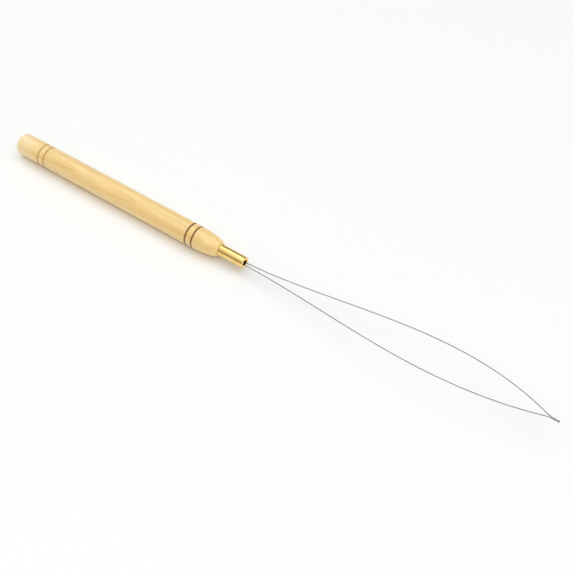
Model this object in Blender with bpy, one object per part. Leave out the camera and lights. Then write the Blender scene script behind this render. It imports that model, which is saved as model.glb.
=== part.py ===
"""Loop threader: a turned wooden handle, a brass ferrule and one long loop of spring wire.

Metres, +X along the tool towards the tip of the loop, +Z up. The tool lies on the surface z = 0, and
the origin is on that surface, under the middle of the tool. Inside the functions, x runs along the
handle's axis from its butt, and y and z are measured from that axis.
"""

import math

import bmesh
import bpy
from mathutils import Vector

# Handle
FACETS = 24
HANDLE_RADIUS = 0.0046
HANDLE_LENGTH = 0.1042
BUTT_FACE_RADIUS = 0.0022
BUTT_DOME_LENGTH = 0.0021
BUTT_ROUNDNESS = 1.7
SHOULDER_LENGTH = 0.0106
SHOULDER_FACE_RADIUS = 0.0025
SHOULDER_ROUNDNESS = 1.9
CURVE_STEPS = 8
GROOVE_PLACES = (0.0130, 0.0160, 0.0900, 0.0931)
GROOVE_WIDTH = 0.0007
GROOVE_DEPTH = 0.00028
GROOVE_FLOOR = 0.0002

# Joint between handle, ferrule and wire
GLUE_LINE = 0.0001
FERRULE_LENGTH = 0.0116
FERRULE_RADIUS = 0.0023
FERRULE_WALL = 0.00025
LIP_ROUNDING = 0.0004
LIP_HOLE_RADIUS = 0.00115
CHAMBER_LENGTH = 0.0040
BORE_RADIUS = 0.0013
BORE_DEPTH = 0.0200
RESIN_END_GAP = 0.0005

# Wire loop
WIRE_RADIUS = 0.000175
WIRE_INSET = 0.0180
WIRE_DROP = 0.00065
START_HALF_GAP = 0.00058
LOOP_LENGTH = 0.1278
LOOP_LIFT = 0.0057
LIFT_START_SLOPE = 0.030
LIFT_END_SLOPE = -0.025
CLOSING_SLOPE = -0.366
TWIST_RADIUS = 0.00026
TWIST_LENGTH = 0.0036
TWIST_TURNS = 1.0
TWIST_EASE = 0.2
NECK_SOFTNESS = 0.00012
STRAND_STEPS = 44
TWIST_STEPS = 24
EYE_STEPS = 6

RESIN_START = HANDLE_LENGTH + FERRULE_LENGTH - CHAMBER_LENGTH
FERRULE_FRONT = HANDLE_LENGTH + FERRULE_LENGTH
NECK = FERRULE_FRONT + LOOP_LENGTH
TIP = NECK + TWIST_LENGTH + TWIST_RADIUS + WIRE_RADIUS
AXIS_HEIGHT = HANDLE_RADIUS * math.cos(math.pi / FACETS)


def clear_scene():
    for obj in list(bpy.data.objects):
        bpy.data.objects.remove(obj, do_unlink=True)


def make_material(name, colour, roughness, metallic):
    material = bpy.data.materials.new(name)
    material.use_nodes = True
    shader = material.node_tree.nodes["Principled BSDF"]
    shader.inputs["Base Color"].default_value = (*colour, 1.0)
    shader.inputs["Roughness"].default_value = roughness
    shader.inputs["Metallic"].default_value = metallic
    return material


def add_object(name, data, material, axis):
    """Links a new object, in its material, to the empty on the handle's axis."""
    obj = bpy.data.objects.new(name, data)
    data.materials.append(material)
    bpy.context.scene.collection.objects.link(obj)
    obj.parent = axis
    return obj


def turned_mesh(name, outline, closed):
    """Turns an outline of (x, radius) points about the X axis. A facet, not a corner, faces down."""
    mesh = bmesh.new()
    lean = math.pi / FACETS
    points = [mesh.verts.new((x, radius * math.sin(lean), radius * math.cos(lean))) for x, radius in outline]
    edges = [mesh.edges.new(pair) for pair in zip(points, points[1:])]
    if closed:
        edges.append(mesh.edges.new((points[-1], points[0])))
    bmesh.ops.spin(
        mesh, geom=points + edges, axis=(1, 0, 0), angle=2 * math.pi, steps=FACETS, use_merge=True
    )
    bmesh.ops.remove_doubles(mesh, verts=mesh.verts, dist=1e-7)
    bmesh.ops.recalc_face_normals(mesh, faces=mesh.faces)
    data = bpy.data.meshes.new(name)
    mesh.to_mesh(data)
    mesh.free()
    data.shade_smooth()
    data.set_sharp_from_angle(angle=math.radians(35))
    return data


def rounded_end(small, large, length, roundness):
    """(distance, radius) points of a rounded end, from its small face to the full radius."""
    points = []
    for step in range(CURVE_STEPS + 1):
        angle = math.pi / 2 * step / CURVE_STEPS
        distance = length * (1 - math.cos(angle) ** (2 / roundness))
        points.append((distance, small + (large - small) * math.sin(angle) ** (2 / roundness)))
    return points


def groove(place):
    """Outline of one turned groove: two sloping sides and a narrow floor."""
    floor = HANDLE_RADIUS - GROOVE_DEPTH
    return [
        (place - GROOVE_WIDTH / 2, HANDLE_RADIUS),
        (place - GROOVE_FLOOR / 2, floor),
        (place + GROOVE_FLOOR / 2, floor),
        (place + GROOVE_WIDTH / 2, HANDLE_RADIUS),
    ]


def handle_outline():
    butt = rounded_end(BUTT_FACE_RADIUS, HANDLE_RADIUS, BUTT_DOME_LENGTH, BUTT_ROUNDNESS)
    shoulder = rounded_end(SHOULDER_FACE_RADIUS, HANDLE_RADIUS, SHOULDER_LENGTH, SHOULDER_ROUNDNESS)
    spigot_radius = FERRULE_RADIUS - FERRULE_WALL - GLUE_LINE
    outline = [(0.0, 0.0)] + butt
    for place in GROOVE_PLACES:
        outline += groove(place)
    outline += [(HANDLE_LENGTH - distance, radius) for distance, radius in reversed(shoulder)]
    outline += [
        (HANDLE_LENGTH, spigot_radius),
        (RESIN_START, spigot_radius),
        (RESIN_START, BORE_RADIUS),
        (RESIN_START - BORE_DEPTH, BORE_RADIUS),
        (RESIN_START - BORE_DEPTH, 0.0),
    ]
    return outline


def ferrule_outline():
    """Cross-section of the tube's wall, with the front edge rolled in to a small hole."""
    inner = FERRULE_RADIUS - FERRULE_WALL
    outline = [(HANDLE_LENGTH + GLUE_LINE, inner), (HANDLE_LENGTH + GLUE_LINE, FERRULE_RADIUS)]
    corner = FERRULE_FRONT - LIP_ROUNDING
    for step in range(CURVE_STEPS + 1):
        angle = math.pi / 2 * step / CURVE_STEPS
        outline.append(
            (
                corner + LIP_ROUNDING * math.sin(angle),
                FERRULE_RADIUS - LIP_ROUNDING + LIP_ROUNDING * math.cos(angle),
            )
        )
    outline += [(FERRULE_FRONT, LIP_HOLE_RADIUS), (FERRULE_FRONT - FERRULE_WALL, LIP_HOLE_RADIUS)]
    for step in range(CURVE_STEPS, -1, -1):
        angle = math.pi / 2 * step / CURVE_STEPS
        rounding = LIP_ROUNDING - FERRULE_WALL
        outline.append(
            (corner + rounding * math.sin(angle), inner - rounding + rounding * math.cos(angle))
        )
    return outline


def cubic(t, start, start_rise, end, end_rise):
    """The cubic through two values with a given rise at each, which is how a sprung wire bends."""
    return (
        (2 * t**3 - 3 * t**2 + 1) * start
        + (t**3 - 2 * t**2 + t) * start_rise
        + (3 * t**2 - 2 * t**3) * end
        + (t**3 - t**2) * end_rise
    )


def eased(t, ease):
    """0 to 1 at a steady rate, with a soft start and a soft stop over the share ease at each end."""
    if t <= 0:
        return 0.0
    if t >= 1:
        return 1.0
    if t < ease:
        return t * t / (2 * ease * (1 - ease))
    if t > 1 - ease:
        return 1 - (1 - t) ** 2 / (2 * ease * (1 - ease))
    return (t - ease / 2) / (1 - ease)


def strand_point(x, side):
    """A point of one strand: straight in the resin, bowed out to the neck, then wound about its twin."""
    if x <= RESIN_START:
        return Vector((x, side * START_HALF_GAP, -WIRE_DROP))
    span = NECK - RESIN_START
    t = (x - RESIN_START) / span
    spread = cubic(t, START_HALF_GAP, 0.0, TWIST_RADIUS, CLOSING_SLOPE * span)
    lift = cubic(t, -WIRE_DROP, LIFT_START_SLOPE * span, LOOP_LIFT, LIFT_END_SLOPE * span)
    excess = spread - TWIST_RADIUS
    half_gap = TWIST_RADIUS + (excess + math.hypot(excess, NECK_SOFTNESS)) / 2
    turn = 2 * math.pi * TWIST_TURNS * eased((x - NECK) / TWIST_LENGTH, TWIST_EASE)
    return Vector((x, side * half_gap * math.cos(turn), lift + side * half_gap * math.sin(turn)))


def wire_path():
    """The whole wire, from one end in the resin, out round the tip and back to the other end."""
    stations = [RESIN_START - WIRE_INSET]
    stations += [RESIN_START + (NECK - RESIN_START) * step / STRAND_STEPS for step in range(STRAND_STEPS)]
    stations += [NECK + TWIST_LENGTH * step / TWIST_STEPS for step in range(TWIST_STEPS + 1)]
    out = [strand_point(x, 1) for x in stations]
    back = [strand_point(x, -1) for x in reversed(stations)]
    centre = (out[-1] + back[0]) / 2
    across = out[-1] - centre
    ahead = Vector((across.length, 0, 0))
    eye = []
    for step in range(1, EYE_STEPS):
        angle = math.pi * step / EYE_STEPS
        eye.append(centre + across * math.cos(angle) + ahead * math.sin(angle))
    return out + eye + back


def make_handle(axis):
    wood = make_material("lacquered_wood", (0.80, 0.60, 0.34), 0.3, 0.0)
    add_object("handle", turned_mesh("handle", handle_outline(), closed=False), wood, axis)


def make_ferrule(axis):
    brass = make_material("polished_brass", (0.78, 0.55, 0.20), 0.2, 1.0)
    add_object("ferrule", turned_mesh("ferrule", ferrule_outline(), closed=True), brass, axis)


def make_wire_loop(axis):
    steel = make_material("spring_steel", (0.45, 0.45, 0.44), 0.3, 1.0)
    curve = bpy.data.curves.new("wire_loop", "CURVE")
    curve.dimensions = "3D"
    curve.bevel_depth = WIRE_RADIUS
    curve.bevel_resolution = 2
    curve.use_fill_caps = True
    path = wire_path()
    spline = curve.splines.new("POLY")
    spline.points.add(len(path) - 1)
    for point, place in zip(spline.points, path):
        point.co = (*place, 1.0)
    add_object("wire_loop", curve, steel, axis)


def make_resin_plug(axis):
    """The resin fills the bore round the two wire ends, which leave one blind tunnel each in it."""
    resin = make_material("resin", (0.55, 0.42, 0.22), 0.25, 0.0)
    radius = BORE_RADIUS - GLUE_LINE
    back = RESIN_START - BORE_DEPTH + RESIN_END_GAP
    outline = [(back, 0.0), (back, radius), (RESIN_START, radius), (RESIN_START, 0.0)]
    plug = add_object("resin_plug", turned_mesh("resin_plug", outline, closed=False), resin, axis)
    for side, name in ((1, "tunnel_left"), (-1, "tunnel_right")):
        start = RESIN_START - WIRE_INSET - GLUE_LINE
        bore = WIRE_RADIUS + GLUE_LINE / 2
        outline = [(start, 0.0), (start, bore), (FERRULE_FRONT, bore), (FERRULE_FRONT, 0.0)]
        cutter = add_object(name, turned_mesh(name, outline, closed=False), resin, axis)
        cutter.location = (0, side * START_HALF_GAP, -WIRE_DROP)
        cutter.hide_render = True
        cutter.display_type = "WIRE"
        cut = plug.modifiers.new(name, "BOOLEAN")
        cut.operation = "DIFFERENCE"
        cut.solver = "EXACT"
        cut.object = cutter


def main():
    clear_scene()
    axis = bpy.data.objects.new("handle_axis", None)
    axis.location = (-TIP / 2, 0, AXIS_HEIGHT)
    bpy.context.scene.collection.objects.link(axis)
    make_handle(axis)
    make_ferrule(axis)
    make_wire_loop(axis)
    make_resin_plug(axis)


main()
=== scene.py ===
"""Loop threader: a turned wooden handle, a brass ferrule, one long loop of spring wire and its resin.

Metres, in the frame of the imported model: +X along the tool towards the tip of the loop, +Z up, on the
surface z = 0. Each piece is modelled round the handle's axis, with x counted from the butt, and then
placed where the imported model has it.
"""

import math

import bmesh
import bpy
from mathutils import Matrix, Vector


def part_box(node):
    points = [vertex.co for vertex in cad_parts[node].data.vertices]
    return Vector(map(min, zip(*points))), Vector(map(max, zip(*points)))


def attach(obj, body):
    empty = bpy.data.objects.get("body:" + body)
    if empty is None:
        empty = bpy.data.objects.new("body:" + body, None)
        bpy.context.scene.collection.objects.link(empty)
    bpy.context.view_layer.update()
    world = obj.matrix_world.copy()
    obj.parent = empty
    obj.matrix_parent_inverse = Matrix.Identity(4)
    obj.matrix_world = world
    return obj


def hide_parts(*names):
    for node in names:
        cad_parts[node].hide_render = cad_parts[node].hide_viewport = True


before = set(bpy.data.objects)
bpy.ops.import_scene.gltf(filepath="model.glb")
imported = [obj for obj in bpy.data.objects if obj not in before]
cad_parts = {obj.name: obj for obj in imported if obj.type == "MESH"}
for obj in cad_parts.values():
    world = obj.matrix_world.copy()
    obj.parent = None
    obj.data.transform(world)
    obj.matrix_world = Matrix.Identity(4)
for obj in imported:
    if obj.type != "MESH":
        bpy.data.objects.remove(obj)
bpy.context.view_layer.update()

# Camera and room
VIEW_AZIMUTH = math.radians(36.0)
VIEW_ELEVATION = math.radians(48.23)
VIEW_DISTANCE = 0.4644
VIEW_AIM = (0.01169, -0.00046)
LENS = 78.6
SENSOR = 36.0
FLOOR_SIZE = 12.0
KEY_ENERGY = 1.1
KEY_PLACE = (0.1, -0.35, 0.8)
KEY_SIZE = (0.9, 0.5)
SKY_STRENGTH = 2.0
# Colour of the end walls, and of the rest of the room by angle: 0 is the horizon in front, 90 is
# overhead and 180 is the horizon behind.
END_WALL = (0.38, 0.38, 0.38)
SKY = (
    (0, (0.14, 0.13, 0.115)),
    (30, (0.25, 0.225, 0.19)),
    (54, (0.40, 0.375, 0.34)),
    (76, (0.55, 0.55, 0.55)),
    (90, (0.56, 0.56, 0.56)),
    (97, (0.82, 0.87, 0.86)),
    (119, (0.82, 0.87, 0.86)),
    (127, (0.42, 0.42, 0.42)),
    (142, (0.17, 0.17, 0.17)),
    (180, (0.2, 0.2, 0.2)),
)

# Handle, measured from the butt
HANDLE_SIDES = 128
HANDLE_RADIUS = 0.0046
HANDLE_LENGTH = 0.1042
BUTT_FACE_RADIUS = 0.0022
BUTT_DOME_LENGTH = 0.0021
BUTT_ROUNDNESS = 1.7
SHOULDER_LENGTH = 0.0106
SHOULDER_FACE_RADIUS = 0.0025
SHOULDER_ROUNDNESS = 1.9
SHOULDER_EDGE = 0.00012
SHOULDER_EDGE_STEPS = 4
CURVE_STEPS = 28
REAR_GROOVES = (0.0130, 0.0160)
FRONT_GROOVES = (0.0900, 0.0931)
GROOVE_WIDTH = 0.0010
GROOVE_DEPTH = 0.00028
GROOVE_STEPS = 14
GROOVE_FLOOR_SHARE = 0.25
REAR_BURN = 0.5
FRONT_BURN = 0.95
SPIGOT_RADIUS = 0.00195
BORE_RADIUS = 0.0013
BORE_DEPTH = 0.0200

# Ferrule
FERRULE_SIDES = 96
FERRULE_RADIUS = 0.0023
FERRULE_WALL = 0.00025
LIP_ROUNDING = 0.0004
LIP_HOLE_RADIUS = 0.00115
LIP_STEPS = 10
EDGE_BEVEL = 0.00005

# Wire
WIRE_SIDES = 16
WIRE_RADIUS = 0.000175
WIRE_DROP = 0.00065
START_HALF_GAP = 0.00058
LOOP_LIFT = 0.0057
LIFT_START_SLOPE = 0.030
LIFT_END_SLOPE = -0.025
CLOSING_SLOPE = -0.366
TWIST_RADIUS = 0.00026
TWIST_LENGTH = 0.0036
TWIST_TURNS = 1.0
TWIST_EASE = 0.2
NECK_SOFTNESS = 0.00012
STRAND_STEPS = 120
TWIST_STEPS = 48
EYE_STEPS = 12

# Resin
RESIN_SIDES = 64
RESIN_CLEARANCE = 0.00001
RESIN_CLIMB = 0.0004
RESIN_STEPS = 12

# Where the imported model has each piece
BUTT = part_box("handle")[0].x
AXIS_HEIGHT = (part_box("handle")[0].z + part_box("handle")[1].z) / 2
SPIGOT_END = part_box("handle")[1].x - BUTT
FERRULE_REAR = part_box("ferrule")[0].x - BUTT
FERRULE_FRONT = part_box("ferrule")[1].x - BUTT
WIRE_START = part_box("wire_loop")[0].x - BUTT
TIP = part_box("wire_loop")[1].x - BUTT
NECK = TIP - TWIST_LENGTH - TWIST_RADIUS - WIRE_RADIUS
RESIN_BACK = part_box("resin_plug")[0].x - BUTT


# ---- Mesh building ----


def skin(name, rings, marks, closed=False):
    """A smooth mesh through rings of points, where a ring of one point closes an end.

    marks holds (distance along the skin, burn) for each ring. The distance goes into the second
    coordinate of the UV map "wrap", and burn into the vertex attribute "burn".
    """
    mesh = bmesh.new()
    wrap = mesh.loops.layers.uv.new("wrap")
    burn_layer = mesh.verts.layers.float.new("burn")
    rows = []
    for ring, (_, burn) in zip(rings, marks):
        rows.append([mesh.verts.new(point) for point in ring])
        for vert in rows[-1]:
            vert[burn_layer] = burn
    sides = max(len(row) for row in rows)
    pairs = [(step, step + 1) for step in range(len(rows) - 1)]
    if closed:
        pairs.append((len(rows) - 1, 0))
    for low, high in pairs:
        near, far = marks[low][0], marks[high][0]
        if high == 0:
            far = near + (rings[0][0] - rings[-1][0]).length
        for side in range(sides):
            corners = [
                (rows[low][side % len(rows[low])], side, near),
                (rows[low][(side + 1) % len(rows[low])], side + 1, near),
                (rows[high][(side + 1) % len(rows[high])], side + 1, far),
                (rows[high][side % len(rows[high])], side, far),
            ]
            kept = [corner for n, corner in enumerate(corners) if corner[0] is not corners[n - 1][0]]
            face = mesh.faces.new([corner[0] for corner in kept])
            for loop, (_, across, along) in zip(face.loops, kept):
                loop[wrap].uv = (across / sides, along)
    bmesh.ops.recalc_face_normals(mesh, faces=mesh.faces)
    data = bpy.data.meshes.new(name)
    mesh.to_mesh(data)
    mesh.free()
    data.shade_smooth()
    data.set_sharp_from_angle(angle=math.radians(40))
    return data


def turned(name, outline, sides, closed=False):
    """Turns an outline of (x, radius, burn) points about the X axis."""
    rings = []
    marks = []
    distance = 0.0
    for step, (x, radius, burn) in enumerate(outline):
        if step:
            distance += math.hypot(x - outline[step - 1][0], radius - outline[step - 1][1])
        marks.append((distance, burn))
        count = sides if radius > 0 else 1
        turns = [2 * math.pi * side / count for side in range(count)]
        rings.append([Vector((x, radius * math.cos(turn), radius * math.sin(turn))) for turn in turns])
    return skin(name, rings, marks, closed)


def swept(name, path, radius, sides):
    """A round tube along a path, with no twist of its own and a flat cap on each end."""
    tangents = []
    for step in range(len(path)):
        ahead = path[min(step + 1, len(path) - 1)] - path[max(step - 1, 0)]
        tangents.append(ahead.normalized())
    across = tangents[0].orthogonal().normalized()
    turns = [2 * math.pi * side / sides for side in range(sides)]
    rings = [[path[0]]]
    marks = [(-radius, 0.0)]
    distance = 0.0
    for step, (centre, tangent) in enumerate(zip(path, tangents)):
        if step:
            across = tangents[step - 1].rotation_difference(tangent) @ across
            across = (across - tangent * across.dot(tangent)).normalized()
            distance += (centre - path[step - 1]).length
        up = tangent.cross(across)
        rings.append([centre + radius * (across * math.cos(turn) + up * math.sin(turn)) for turn in turns])
        marks.append((distance, 0.0))
    rings.append([path[-1]])
    marks.append((distance + radius, 0.0))
    return skin(name, rings, marks)


def place_piece(name, data, material, node):
    """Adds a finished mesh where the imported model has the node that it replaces."""
    obj = bpy.data.objects.new(name, data)
    data.materials.append(material)
    bpy.context.scene.collection.objects.link(obj)
    obj.location = (BUTT, 0.0, AXIS_HEIGHT)
    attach(obj, "root")
    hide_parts(node)
    return obj


# ---- Outlines ----


def rounded_end(small, large, length, roundness):
    """(distance, radius) points of a rounded end, from its small face to the full radius."""
    points = []
    for step in range(CURVE_STEPS + 1):
        angle = math.pi / 2 * step / CURVE_STEPS
        distance = length * (1 - math.cos(angle) ** (2 / roundness))
        points.append((distance, small + (large - small) * math.sin(angle) ** (2 / roundness)))
    return points


def smooth_step(low, high, value):
    share = min(max((value - low) / (high - low), 0.0), 1.0)
    return share * share * (3 - 2 * share)


def groove(place, burn):
    """One turned groove with a flat floor and soft edges, scorched where the tool rubbed."""
    points = []
    for step in range(GROOVE_STEPS + 1):
        share = 2 * step / GROOVE_STEPS - 1
        depth = 1 - smooth_step(GROOVE_FLOOR_SHARE, 1.0, abs(share))
        x = place + share * GROOVE_WIDTH / 2
        points.append((x, HANDLE_RADIUS - GROOVE_DEPTH * depth, burn * depth**0.3))
    return points


def arc(centre_x, centre_radius, size, start, end, steps):
    """Points of an arc in the (x, radius) plane. Angle 0 points away from the axis, 90 along +X."""
    points = []
    for step in range(steps + 1):
        angle = math.radians(start + (end - start) * step / steps)
        points.append((centre_x + size * math.sin(angle), centre_radius + size * math.cos(angle), 0.0))
    return points


def handle_outline():
    butt = rounded_end(BUTT_FACE_RADIUS, HANDLE_RADIUS, BUTT_DOME_LENGTH, BUTT_ROUNDNESS)
    shoulder = rounded_end(
        SHOULDER_FACE_RADIUS, HANDLE_RADIUS, SHOULDER_LENGTH - SHOULDER_EDGE, SHOULDER_ROUNDNESS
    )
    outline = [(0.0, 0.0, 0.0), (0.0, BUTT_FACE_RADIUS / 2, 0.0)]
    outline += [(distance, radius, 0.0) for distance, radius in butt]
    for place in REAR_GROOVES:
        outline += groove(place, REAR_BURN)
    for place in FRONT_GROOVES:
        outline += groove(place, FRONT_BURN)
    outline += [
        (HANDLE_LENGTH - SHOULDER_EDGE - distance, radius, 0.0) for distance, radius in reversed(shoulder)
    ]
    edge_x = HANDLE_LENGTH - SHOULDER_EDGE
    edge_radius = SHOULDER_FACE_RADIUS - SHOULDER_EDGE
    outline += arc(edge_x, edge_radius, SHOULDER_EDGE, 0, 90, SHOULDER_EDGE_STEPS)[1:]
    outline += [
        (HANDLE_LENGTH, SPIGOT_RADIUS, 0.0),
        (SPIGOT_END, SPIGOT_RADIUS, 0.0),
        (SPIGOT_END, BORE_RADIUS, 0.0),
        (SPIGOT_END - BORE_DEPTH, BORE_RADIUS, 0.0),
        (SPIGOT_END - BORE_DEPTH, 0.0, 0.0),
    ]
    return outline


def ferrule_outline():
    """Cross-section of the tube's wall: small bevels at the rear, the front rolled in to a hole."""
    inner = FERRULE_RADIUS - FERRULE_WALL
    corner = FERRULE_FRONT - LIP_ROUNDING
    outline = [
        (FERRULE_REAR, inner + EDGE_BEVEL, 0.0),
        (FERRULE_REAR, FERRULE_RADIUS - EDGE_BEVEL, 0.0),
        (FERRULE_REAR + EDGE_BEVEL, FERRULE_RADIUS, 0.0),
    ]
    outline += arc(corner, FERRULE_RADIUS - LIP_ROUNDING, LIP_ROUNDING, 0, 90, LIP_STEPS)
    hole_edge = FERRULE_WALL / 2
    outline += arc(FERRULE_FRONT - hole_edge, LIP_HOLE_RADIUS + hole_edge, hole_edge, 90, 270, LIP_STEPS)
    outline += arc(
        corner, FERRULE_RADIUS - LIP_ROUNDING, LIP_ROUNDING - FERRULE_WALL, 90, 0, LIP_STEPS
    )
    outline.append((FERRULE_REAR + EDGE_BEVEL, inner, 0.0))
    return outline


def resin_outline():
    """The set resin: its front is hollowed a little, where it climbed the wall of the bore."""
    radius = BORE_RADIUS - RESIN_CLEARANCE
    outline = [(RESIN_BACK, 0.0, 0.0), (RESIN_BACK, radius, 0.0)]
    for step in range(RESIN_STEPS + 1):
        share = 1 - step / RESIN_STEPS
        outline.append((SPIGOT_END - RESIN_CLIMB * (1 - share**3), radius * share, 0.0))
    return outline


# ---- Wire ----


def cubic(t, start, start_rise, end, end_rise):
    """The cubic through two values with a given rise at each, which is how a sprung wire bends."""
    return (
        (2 * t**3 - 3 * t**2 + 1) * start
        + (t**3 - 2 * t**2 + t) * start_rise
        + (3 * t**2 - 2 * t**3) * end
        + (t**3 - t**2) * end_rise
    )


def eased(t, ease):
    """0 to 1 at a steady rate, with a soft start and a soft stop over the share ease at each end."""
    if t <= 0:
        return 0.0
    if t >= 1:
        return 1.0
    if t < ease:
        return t * t / (2 * ease * (1 - ease))
    if t > 1 - ease:
        return 1 - (1 - t) ** 2 / (2 * ease * (1 - ease))
    return (t - ease / 2) / (1 - ease)


def strand_point(x, side):
    """A point of one strand: straight in the resin, bowed out to the neck, then wound about its twin."""
    if x <= SPIGOT_END:
        return Vector((x, side * START_HALF_GAP, -WIRE_DROP))
    span = NECK - SPIGOT_END
    t = (x - SPIGOT_END) / span
    spread = cubic(t, START_HALF_GAP, 0.0, TWIST_RADIUS, CLOSING_SLOPE * span)
    lift = cubic(t, -WIRE_DROP, LIFT_START_SLOPE * span, LOOP_LIFT, LIFT_END_SLOPE * span)
    excess = spread - TWIST_RADIUS
    half_gap = TWIST_RADIUS + (excess + math.hypot(excess, NECK_SOFTNESS)) / 2
    turn = 2 * math.pi * TWIST_TURNS * eased((x - NECK) / TWIST_LENGTH, TWIST_EASE)
    return Vector((x, side * half_gap * math.cos(turn), lift + side * half_gap * math.sin(turn)))


def wire_path():
    """The whole wire, from one end in the resin, out round the tip and back to the other end."""
    stations = [WIRE_START]
    stations += [SPIGOT_END + (NECK - SPIGOT_END) * step / STRAND_STEPS for step in range(STRAND_STEPS)]
    stations += [NECK + TWIST_LENGTH * step / TWIST_STEPS for step in range(TWIST_STEPS + 1)]
    out = [strand_point(x, 1) for x in stations]
    back = [strand_point(x, -1) for x in reversed(stations)]
    centre = (out[-1] + back[0]) / 2
    across = out[-1] - centre
    ahead = Vector((across.length, 0, 0))
    eye = []
    for step in range(1, EYE_STEPS):
        angle = math.pi * step / EYE_STEPS
        eye.append(centre + across * math.cos(angle) + ahead * math.sin(angle))
    return out + eye + back


# ---- Materials ----


class Shader:
    """A material's node tree, with short calls for the nodes that the materials below share."""

    def __init__(self, name):
        self.material = bpy.data.materials.new(name)
        self.material.use_nodes = True
        self.tree = self.material.node_tree
        self.surface = self.tree.nodes["Principled BSDF"]

    def add(self, kind, **settings):
        made = self.tree.nodes.new(kind)
        for name, value in settings.items():
            setattr(made, name, value)
        return made

    def feed(self, socket, value):
        """Links value to the socket if it is another socket, and otherwise sets it."""
        if isinstance(value, bpy.types.NodeSocket):
            self.tree.links.new(value, socket)
        else:
            socket.default_value = value

    def maths(self, operation, first, second=0.0):
        made = self.add("ShaderNodeMath", operation=operation)
        self.feed(made.inputs[0], first)
        self.feed(made.inputs[1], second)
        return made.outputs[0]

    def vector_maths(self, operation, first, second):
        made = self.add("ShaderNodeVectorMath", operation=operation)
        self.feed(made.inputs[0], first)
        self.feed(made.inputs[1], second)
        return made.outputs["Value" if operation == "LENGTH" else "Vector"]

    def noise(self, place, stretch, detail=2.0, roughness=0.5):
        """Noise from about 0.25 to 0.75 whose blots are about 1 / stretch across on each axis."""
        made = self.add("ShaderNodeTexNoise")
        self.feed(made.inputs["Vector"], self.vector_maths("MULTIPLY", place, stretch))
        made.inputs["Scale"].default_value = 1.0
        made.inputs["Detail"].default_value = detail
        made.inputs["Roughness"].default_value = roughness
        return made.outputs["Fac"]

    def spread(self, value, low, high, to_low, to_high):
        """Maps low..high to to_low..to_high, and stops at both ends."""
        made = self.add("ShaderNodeMapRange")
        for name, number in zip(("From Min", "From Max", "To Min", "To Max"), (low, high, to_low, to_high)):
            made.inputs[name].default_value = number
        self.feed(made.inputs["Value"], value)
        return made.outputs["Result"]

    def ramp(self, value, stops):
        """A colour ramp through (position, colour) stops."""
        made = self.add("ShaderNodeValToRGB")
        elements = made.color_ramp.elements
        for _ in stops[2:]:
            elements.new(0.5)
        for element, (position, colour) in zip(elements, stops):
            element.position = position
            element.color = (*colour, 1.0)
        self.feed(made.inputs["Fac"], value)
        return made.outputs["Color"]

    def mix(self, share, first, second, blend="MIX"):
        made = self.add("ShaderNodeMix", data_type="RGBA", blend_type=blend)
        sockets = {socket.identifier: socket for socket in made.inputs}
        self.feed(sockets["Factor_Float"], share)
        for identifier, value in (("A_Color", first), ("B_Color", second)):
            linked = isinstance(value, bpy.types.NodeSocket)
            self.feed(sockets[identifier], value if linked else (*value, 1.0))
        return next(socket for socket in made.outputs if socket.identifier == "Result_Color")

    def bump(self, height, distance, below=None):
        made = self.add("ShaderNodeBump")
        made.inputs["Distance"].default_value = distance
        self.feed(made.inputs["Height"], height)
        if below:
            self.feed(made.inputs["Normal"], below)
        return made.outputs["Normal"]


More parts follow.
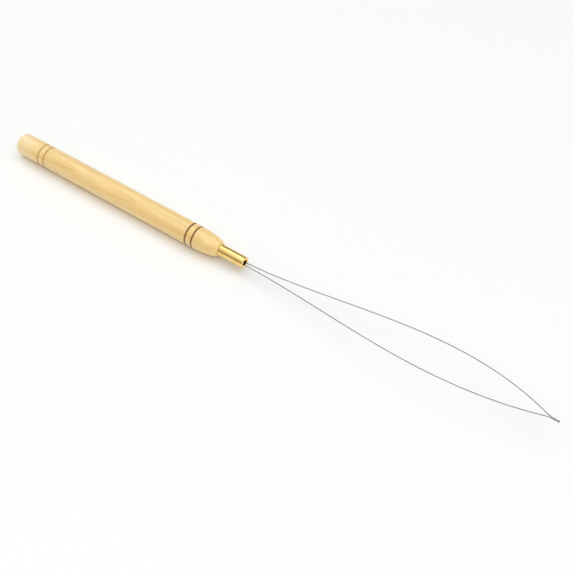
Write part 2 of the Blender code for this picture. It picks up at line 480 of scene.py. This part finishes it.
def lacquered_wood():
    """Pale, close-grained wood under clear lacquer: growth rings, fibres, flecks and scorched grooves."""
    wood = Shader("lacquered_wood")
    surface = wood.surface
    place = wood.add("ShaderNodeTexCoord").outputs["Object"]
    x = wood.add("ShaderNodeSeparateXYZ")
    wood.feed(x.inputs[0], place)
    along = x.outputs["X"]

    # The stick was cut well away from the middle of the tree and slightly off its line.
    wander = wood.noise(place, (22.0, 130.0, 130.0), detail=2.0)
    tilted = wood.add("ShaderNodeVectorRotate", rotation_type="EULER_XYZ")
    tilted.inputs["Rotation"].default_value = (0.0, math.radians(1.6), math.radians(2.2))
    wood.feed(tilted.inputs["Vector"], place)
    across = wood.vector_maths("MULTIPLY", tilted.outputs["Vector"], (0.0, 1.0, 1.0))
    from_pith = wood.vector_maths("LENGTH", wood.vector_maths("ADD", across, (0.0, 0.019, -0.026)), (0, 0, 0))
    warped = wood.maths("ADD", from_pith, wood.maths("MULTIPLY", wander, 0.0016))
    ring = wood.maths("FRACT", wood.maths("DIVIDE", warped, 0.0015))
    ring_tones = [
        (0.0, (0.35, 0.35, 0.35)),
        (0.1, (0.0, 0.0, 0.0)),
        (0.55, (0.25, 0.25, 0.25)),
        (0.97, (1.0, 1.0, 1.0)),
    ]
    ring_tone = wood.ramp(ring, ring_tones)
    base = wood.mix(ring_tone, (0.94, 0.685, 0.29), (0.88, 0.595, 0.223))

    # Long soft streaks, then fine fibres, then the short dark flecks between them.
    streaks = wood.spread(wood.noise(place, (35.0, 520.0, 520.0), detail=3.0), 0.3, 0.7, 0.93, 1.05)
    base = wood.mix(1.0, base, streaks, "MULTIPLY")
    fibres = wood.noise(place, (160.0, 4200.0, 4200.0), detail=3.0, roughness=0.6)
    base = wood.mix(1.0, base, wood.spread(fibres, 0.3, 0.7, 0.95, 1.04), "MULTIPLY")
    fleck = wood.spread(wood.noise(place, (650.0, 5200.0, 5200.0), detail=1.0), 0.64, 0.72, 0.0, 0.35)
    base = wood.mix(fleck, base, (0.52, 0.29, 0.10))

    # Soft warm mottling, a few millimetres long, that shows through the lacquer.
    blots = wood.noise(place, (150.0, 420.0, 420.0), detail=3.0, roughness=0.6)
    base = wood.mix(wood.spread(blots, 0.42, 0.68, 0.0, 0.3), base, (0.86, 0.53, 0.17))

    # Paler towards the butt, and a deeper gold near the ferrule.
    base = wood.mix(wood.spread(along, 0.0, 0.013, 0.6, 0.0), base, (0.98, 0.84, 0.60))
    base = wood.mix(wood.spread(along, 0.094, 0.106, 0.0, 0.4), base, (0.98, 0.70, 0.25))

    burn = wood.add("ShaderNodeAttribute", attribute_name="burn").outputs["Fac"]
    uneven = wood.spread(wood.noise(place, (400.0, 700.0, 700.0), detail=2.0), 0.3, 0.7, 0.8, 1.15)
    scorch = wood.mix(wood.spread(burn, 0.3, 0.9, 0.0, 1.0), (0.34, 0.15, 0.03), (0.17, 0.058, 0.008))
    base = wood.mix(wood.maths("MULTIPLY", burn, uneven), base, scorch)
    wood.feed(surface.inputs["Base Color"], base)

    patches = wood.noise(place, (120.0, 260.0, 260.0), detail=3.0)
    rough = wood.spread(patches, 0.3, 0.7, 0.30, 0.42)
    wood.feed(surface.inputs["Roughness"], wood.maths("ADD", rough, wood.maths("MULTIPLY", burn, 0.3)))
    wood.feed(surface.inputs["Coat Weight"], wood.spread(burn, 0.0, 0.5, 0.9, 0.1))
    surface.inputs["Coat Roughness"].default_value = 0.25
    surface.inputs["Coat IOR"].default_value = 1.5
    surface.inputs["Specular IOR Level"].default_value = 0.4

    # Tool marks run round the stick and fibres along it, both nearly filled by the lacquer.
    lathe_marks = wood.noise(place, (2600.0, 12.0, 12.0), detail=2.0)
    normal = wood.bump(lathe_marks, 0.000012)
    normal = wood.bump(fibres, 0.00002, normal)
    wood.feed(surface.inputs["Normal"], normal)
    return wood.material


def polished_brass():
    """Drawn brass tube: bright, with fine polishing lines round it and a little tarnish."""
    brass = Shader("polished_brass")
    surface = brass.surface
    place = brass.add("ShaderNodeTexCoord").outputs["Object"]
    tarnish = brass.noise(place, (260.0, 420.0, 420.0), detail=4.0, roughness=0.6)
    base = brass.ramp(
        tarnish, [(0.32, (0.86, 0.58, 0.16)), (0.5, (0.93, 0.67, 0.25)), (0.68, (0.96, 0.74, 0.30))]
    )
    spots = brass.spread(brass.noise(place, (1500.0, 1500.0, 1500.0), detail=2.0), 0.66, 0.74, 0.0, 0.35)
    brass.feed(surface.inputs["Base Color"], brass.mix(spots, base, (0.45, 0.26, 0.08)))
    surface.inputs["Metallic"].default_value = 1.0
    lines = brass.noise(place, (9000.0, 40.0, 40.0), detail=2.0)
    rough = brass.maths("ADD", brass.spread(lines, 0.3, 0.7, 0.09, 0.14), brass.maths("MULTIPLY", spots, 0.3))
    brass.feed(surface.inputs["Roughness"], rough)
    brass.feed(surface.inputs["Normal"], brass.bump(lines, 0.000002))
    return brass.material


def spring_steel():
    """Bright-drawn spring wire: grey, with draw lines along it and faint heat colour here and there."""
    steel = Shader("spring_steel")
    surface = steel.surface
    wrap = steel.add("ShaderNodeUVMap", uv_map="wrap").outputs["UV"]
    lines = steel.noise(wrap, (40.0, 300.0, 1.0), detail=2.0, roughness=0.6)
    place = steel.add("ShaderNodeTexCoord").outputs["Object"]
    patches = steel.noise(place, (180.0, 900.0, 900.0), detail=3.0)
    base = steel.ramp(
        patches, [(0.3, (0.22, 0.215, 0.205)), (0.5, (0.28, 0.28, 0.275)), (0.7, (0.33, 0.33, 0.33))]
    )
    base = steel.mix(1.0, base, steel.spread(lines, 0.3, 0.7, 0.85, 1.1), "MULTIPLY")
    steel.feed(surface.inputs["Base Color"], base)
    surface.inputs["Metallic"].default_value = 1.0
    steel.feed(surface.inputs["Roughness"], steel.spread(lines, 0.3, 0.7, 0.24, 0.38))
    steel.feed(surface.inputs["Normal"], steel.bump(lines, 0.000003))
    return steel.material


def amber_resin():
    """Set resin, clear amber, with a few trapped bubbles."""
    resin = Shader("amber_resin")
    surface = resin.surface
    place = resin.add("ShaderNodeTexCoord").outputs["Object"]
    clouds = resin.noise(place, (900.0, 900.0, 900.0), detail=3.0)
    base = resin.ramp(
        clouds, [(0.3, (0.30, 0.17, 0.05)), (0.5, (0.42, 0.26, 0.09)), (0.7, (0.55, 0.37, 0.15))]
    )
    resin.feed(surface.inputs["Base Color"], base)
    resin.feed(surface.inputs["Roughness"], resin.spread(clouds, 0.3, 0.7, 0.1, 0.22))
    surface.inputs["Coat Weight"].default_value = 0.6
    surface.inputs["Coat Roughness"].default_value = 0.08
    bubbles = resin.noise(place, (3500.0, 3500.0, 3500.0), detail=1.0)
    resin.feed(surface.inputs["Normal"], resin.bump(bubbles, 0.00002))
    return resin.material


def pale_floor():
    floor = Shader("pale_floor")
    surface = floor.surface
    surface.inputs["Base Color"].default_value = (0.93, 0.935, 0.945, 1.0)
    surface.inputs["Roughness"].default_value = 0.7
    surface.inputs["Specular IOR Level"].default_value = 0.2
    return floor.material


# ---- Pieces ----


def make_handle():
    data = turned("wooden_handle", handle_outline(), HANDLE_SIDES)
    place_piece("wooden_handle", data, lacquered_wood(), "handle")


def make_ferrule():
    data = turned("brass_ferrule", ferrule_outline(), FERRULE_SIDES, closed=True)
    place_piece("brass_ferrule", data, polished_brass(), "ferrule")


def make_wire():
    data = swept("spring_wire_loop", wire_path(), WIRE_RADIUS, WIRE_SIDES)
    place_piece("spring_wire_loop", data, spring_steel(), "wire_loop")


def make_resin():
    data = turned("set_resin", resin_outline(), RESIN_SIDES)
    place_piece("set_resin", data, amber_resin(), "resin_plug")


# ---- Room ----


def make_floor():
    mesh = bmesh.new()
    bmesh.ops.create_grid(mesh, x_segments=1, y_segments=1, size=FLOOR_SIZE / 2)
    data = bpy.data.meshes.new("floor")
    mesh.to_mesh(data)
    mesh.free()
    data.materials.append(pale_floor())
    floor = bpy.data.objects.new("floor", data)
    floor.location = (0.0, 0.0, AXIS_HEIGHT - HANDLE_RADIUS)
    bpy.context.scene.collection.objects.link(floor)


def make_sky():
    """A soft white room: brightest behind and above the tool, a little warm in front, dim low down."""
    world = bpy.data.worlds.new("studio")
    bpy.context.scene.world = world
    world.use_nodes = True
    nodes = world.node_tree.nodes
    links = world.node_tree.links
    place = nodes.new("ShaderNodeTexCoord")
    split = nodes.new("ShaderNodeSeparateXYZ")
    links.new(place.outputs["Generated"], split.inputs[0])
    front = nodes.new("ShaderNodeMath")
    front.operation = "MULTIPLY"
    front.inputs[1].default_value = -1.0
    links.new(split.outputs["Y"], front.inputs[0])
    lean = nodes.new("ShaderNodeMath")
    lean.operation = "ARCTAN2"
    links.new(split.outputs["Z"], lean.inputs[0])
    links.new(front.outputs[0], lean.inputs[1])
    share = nodes.new("ShaderNodeMath")
    share.operation = "DIVIDE"
    share.inputs[1].default_value = math.pi
    links.new(lean.outputs[0], share.inputs[0])
    ramp = nodes.new("ShaderNodeValToRGB")
    links.new(share.outputs[0], ramp.inputs["Fac"])
    elements = ramp.color_ramp.elements
    for _ in SKY[2:]:
        elements.new(0.5)
    for element, (angle, colour) in zip(elements, SKY):
        element.position = angle / 180
        element.color = (*colour, 1.0)

    # The angle means nothing straight along X, so the two end walls have a colour of their own.
    sideways = nodes.new("ShaderNodeMath")
    sideways.operation = "ABSOLUTE"
    links.new(split.outputs["X"], sideways.inputs[0])
    end_share = nodes.new("ShaderNodeMapRange")
    end_share.interpolation_type = "SMOOTHSTEP"
    end_share.inputs["From Min"].default_value = 0.6
    end_share.inputs["From Max"].default_value = 0.95
    links.new(sideways.outputs[0], end_share.inputs["Value"])
    room = nodes.new("ShaderNodeMixRGB")
    room.inputs["Color2"].default_value = (*END_WALL, 1.0)
    links.new(end_share.outputs["Result"], room.inputs["Fac"])
    links.new(ramp.outputs["Color"], room.inputs["Color1"])
    background = nodes["Background"]
    links.new(room.outputs["Color"], background.inputs["Color"])
    background.inputs["Strength"].default_value = SKY_STRENGTH


def make_key_light():
    lamp = bpy.data.lights.new("softbox", "AREA")
    lamp.shape = "RECTANGLE"
    lamp.size, lamp.size_y = KEY_SIZE
    lamp.energy = KEY_ENERGY
    softbox = bpy.data.objects.new("softbox", lamp)
    softbox.location = KEY_PLACE
    aim = Vector((0.0, 0.0, 0.0)) - softbox.location
    softbox.rotation_euler = aim.to_track_quat("-Z", "Y").to_euler()
    bpy.context.scene.collection.objects.link(softbox)


def make_camera():
    data = bpy.data.cameras.new("camera")
    data.lens = LENS
    data.sensor_width = SENSOR
    data.clip_start = 0.01
    camera = bpy.data.objects.new("camera", data)
    away = Vector(
        (
            math.sin(VIEW_AZIMUTH) * math.cos(VIEW_ELEVATION),
            -math.cos(VIEW_AZIMUTH) * math.cos(VIEW_ELEVATION),
            math.sin(VIEW_ELEVATION),
        )
    )
    camera.location = Vector((*VIEW_AIM, AXIS_HEIGHT)) + VIEW_DISTANCE * away
    camera.rotation_euler = away.to_track_quat("Z", "Y").to_euler()
    bpy.context.scene.collection.objects.link(camera)
    bpy.context.scene.camera = camera


bpy.context.scene.view_settings.view_transform = "Standard"
make_camera()
make_floor()
make_sky()
make_key_light()
make_handle()
make_ferrule()
make_wire()
make_resin()
